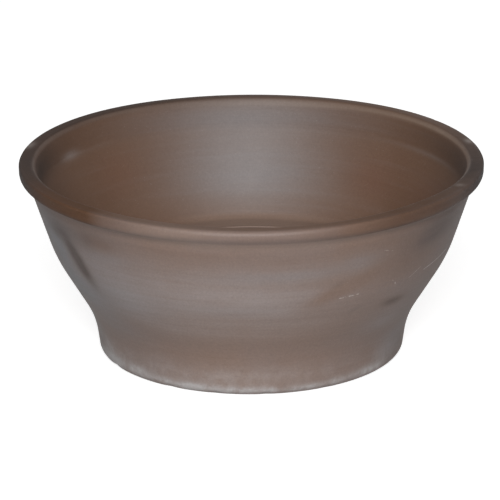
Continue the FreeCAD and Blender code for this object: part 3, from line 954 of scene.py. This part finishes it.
def make_ring():
    """The rubber ring: a band round the weight with a lip under it."""
    low, high = RING_LOW.z, RING_HIGH.z
    lip_top = WEIGHT_LOW.z
    lip_inside = RING_BORE - RING_LIP_WIDTH
    # The outline starts and ends halfway along the lip's underside, which closes it.
    lip_middle = RING_BORE - 0.5 * RING_LIP_WIDTH
    corners = [
        (lip_middle, low, 0),
        (lip_inside, low, 0.3 * MM),
        (lip_inside, lip_top, 0.3 * MM),
        (RING_BORE, lip_top, 0.1 * MM),
        (RING_BORE, high, 0.4 * MM),
        (RING_OUTSIDE, high, 0.6 * MM),
        (RING_OUTSIDE, low, 0.5 * MM),
        (lip_middle, low, 0),
    ]
    outline, _ = rounded_outline(corners, 0.7 * MM)
    return turned_piece("kenzan_rubber", outline[:-1], HOLDER_AROUND, HOLDER_CENTRE, closed=True)


NEEDLE_RADIUS = 0.55 * MM
NEEDLE_PITCH = 3.8 * MM
NEEDLE_CIRCLES = 8
NEEDLES_PER_CIRCLE = 6
NEEDLE_SIDES = 12
NEEDLE_ROOT = 1.0 * MM
NEEDLE_TAPER = 2.6 * MM
# How far a needle leans either way at its point, and how much its length varies, in millimetres.
NEEDLE_LEAN = 0.12
NEEDLE_SPREAD = 0.12
NEEDLE_SEED = 11


def needle_outline(low, high):
    """Height and radius up a needle: a straight shank that narrows to a fine point."""
    return [
        (low, NEEDLE_RADIUS),
        (low + 0.55 * (high - low), NEEDLE_RADIUS),
        (high - NEEDLE_TAPER, 0.96 * NEEDLE_RADIUS),
        (high - 0.55 * NEEDLE_TAPER, 0.66 * NEEDLE_RADIUS),
        (high - 0.15 * NEEDLE_TAPER, 0.24 * NEEDLE_RADIUS),
        (high, 0.05 * NEEDLE_RADIUS),
    ]


def needle_places():
    """Where the needles stand from the holder's middle: one there, and circles round it."""
    places = [(0.0, 0.0)]
    for circle in range(1, NEEDLE_CIRCLES + 1):
        count = circle * NEEDLES_PER_CIRCLE
        for step in range(count):
            angle = 2 * math.pi * step / count
            places.append((circle * NEEDLE_PITCH * math.cos(angle),
                           circle * NEEDLE_PITCH * math.sin(angle)))
    return places


def make_needles():
    """The brass needles, in circles as on the CAD model, each a little off true."""
    generator = np.random.default_rng(NEEDLE_SEED)
    low, high = WEIGHT_HIGH.z - NEEDLE_ROOT, NEEDLES_HIGH.z
    turns = np.arange(NEEDLE_SIDES) * 2 * math.pi / NEEDLE_SIDES
    levels = len(needle_outline(low, high))
    last = (levels - 1) * NEEDLE_SIDES
    needle_faces = turned_faces(levels, NEEDLE_SIDES, False, False)
    needle_faces.append(tuple(reversed(range(NEEDLE_SIDES))))
    needle_faces.append(tuple(range(last, last + NEEDLE_SIDES)))
    vertices = []
    faces = []
    for across, deep in needle_places():
        lean = generator.uniform(-NEEDLE_LEAN, NEEDLE_LEAN, 2) * MM
        top = high - abs(generator.normal(0, NEEDLE_SPREAD)) * MM
        base = len(vertices)
        for level, radius in needle_outline(low, top):
            share = (level - low) / (high - low)
            x = HOLDER_CENTRE[0] + across + lean[0] * share
            y = HOLDER_CENTRE[1] + deep + lean[1] * share
            vertices += [(x + radius * math.cos(turn), y + radius * math.sin(turn), level)
                         for turn in turns]
        faces += [tuple(base + corner for corner in face) for face in needle_faces]
    return mesh_piece("kenzan_pins", np.array(vertices), faces)


def dress(piece, material, body, node):
    """Gives a piece its material and its body, and hides the CAD node that it stands for."""
    piece.data.materials.append(material)
    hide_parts(node)
    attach(piece, body)


dress(make_bowl(), clay_material(), "vessel", "bowl")
dress(make_weight(), lead_material(), "kenzan", "kenzan_base")
dress(make_ring(), rubber_material(), "kenzan", "kenzan_ring")
dress(make_needles(), brass_material(), "kenzan", "kenzan_needles")

# The stage: a pale floor that keeps the bowl's shadow, white all round, and soft studio light
# that comes mostly from the front, as in the photograph.
FLOOR_SIZE = 6.0
FLOOR_GAP = 0.05 * MM
FLOOR_COLOUR = colour(0.55, 0.55, 0.55)
FLOOR_GLOW = 0.80
WORLD_LIGHT = 0.04
# How much of the white is seen in gloss.
GLOSS_SHARE = 0.35


def white_to_the_eye(s):
    """1 for what is seen straight or through glass, less in gloss, 0 for light on the object."""
    path = s.add("ShaderNodeLightPath").outputs
    seen = s.plus(path["Is Camera Ray"], s.times(path["Is Glossy Ray"], GLOSS_SHARE))
    return s.plus(seen, path["Is Transmission Ray"], clamp=True)


def make_floor():
    """A pale floor: white where it is lit, and softly darker in the shadow."""
    half = FLOOR_SIZE / 2
    corners = np.array([(-half, -half, -FLOOR_GAP), (half, -half, -FLOOR_GAP),
                        (half, half, -FLOOR_GAP), (-half, half, -FLOOR_GAP)])
    floor = mesh_piece("floor", corners, [(0, 1, 2, 3)], smooth=False)
    s = Shader(bpy.data.materials.new("pale_floor"))
    lit = s.add("ShaderNodeBsdfDiffuse", Color=FLOOR_COLOUR)
    glow = s.add("ShaderNodeEmission", Color=WHITE,
                 Strength=s.times(white_to_the_eye(s), FLOOR_GLOW))
    both = s.add("ShaderNodeAddShader", i0=lit.outputs[0], i1=glow.outputs[0])
    s.add("ShaderNodeOutputMaterial", Surface=both.outputs[0])
    floor.data.materials.append(s.owner)


def make_world():
    """White where the camera sees it, and a weak even light on the object."""
    world = bpy.data.worlds.new("studio")
    bpy.context.scene.world = world
    s = Shader(world)
    strength = s.math("MAXIMUM", white_to_the_eye(s), WORLD_LIGHT)
    background = s.add("ShaderNodeBackground", Color=WHITE, Strength=strength)
    s.add("ShaderNodeOutputWorld", Surface=background.outputs[0])


def softbox(name, place, size, power, glossy=True):
    """A large square lamp that faces the bowl's middle, and that gloss may mirror or not."""
    lamp = bpy.data.lights.new(name, "AREA")
    lamp.shape = "SQUARE"
    lamp.size = size
    lamp.energy = power
    lamp_object = bpy.data.objects.new(name, lamp)
    lamp_object.location = place
    lamp_object.rotation_mode = "QUATERNION"
    facing = Vector((0, 0, BOWL_HEIGHT / 2)) - Vector(place)
    lamp_object.rotation_quaternion = facing.to_track_quat("-Z", "Y")
    lamp_object.visible_glossy = glossy
    bpy.context.scene.collection.objects.link(lamp_object)


# The photograph's camera, from a fit to the bowl's outline in a picture of 500 pixels.
PICTURE_PIXELS = 500
CAMERA_ELEVATION = math.radians(18.5974)
CAMERA_ROLL = math.radians(0.26663)
CAMERA_DISTANCE = 2672.24 * MM
CAMERA_SIDE = -1.10 * MM
AIM_HEIGHT = 64.43 * MM
FOCAL_PIXELS = 4115.575
SENSOR_WIDTH = 36.0


def make_camera():
    """A long lens a little above the rim, tilted very slightly."""
    forward = Vector((0, math.cos(CAMERA_ELEVATION), -math.sin(CAMERA_ELEVATION)))
    up = Vector((0, math.sin(CAMERA_ELEVATION), math.cos(CAMERA_ELEVATION)))
    right = Vector((1, 0, 0))
    rolled_up = up * math.cos(CAMERA_ROLL) + right * math.sin(CAMERA_ROLL)
    rolled_right = right * math.cos(CAMERA_ROLL) - up * math.sin(CAMERA_ROLL)
    data = bpy.data.cameras.new("camera")
    data.sensor_width = SENSOR_WIDTH
    data.lens = FOCAL_PIXELS / PICTURE_PIXELS * SENSOR_WIDTH
    camera = bpy.data.objects.new("camera", data)
    turn = Matrix((rolled_right, rolled_up, -forward)).transposed()
    place = Vector((CAMERA_SIDE, 0, AIM_HEIGHT)) - forward * CAMERA_DISTANCE
    camera.matrix_world = Matrix.Translation(place) @ turn.to_4x4()
    bpy.context.scene.collection.objects.link(camera)
    bpy.context.scene.camera = camera


make_floor()
make_world()
softbox("front_light", (-0.02, -2.0, 1.27), size=1.20, power=60)
softbox("back_light", (0.2, 2.1, 0.30), size=0.6, power=20, glossy=False)
softbox("top_light", (-0.1, -0.3, 2.2), size=1.2, power=2, glossy=False)
make_camera()

scene = bpy.context.scene
scene.view_settings.view_transform = "Standard"
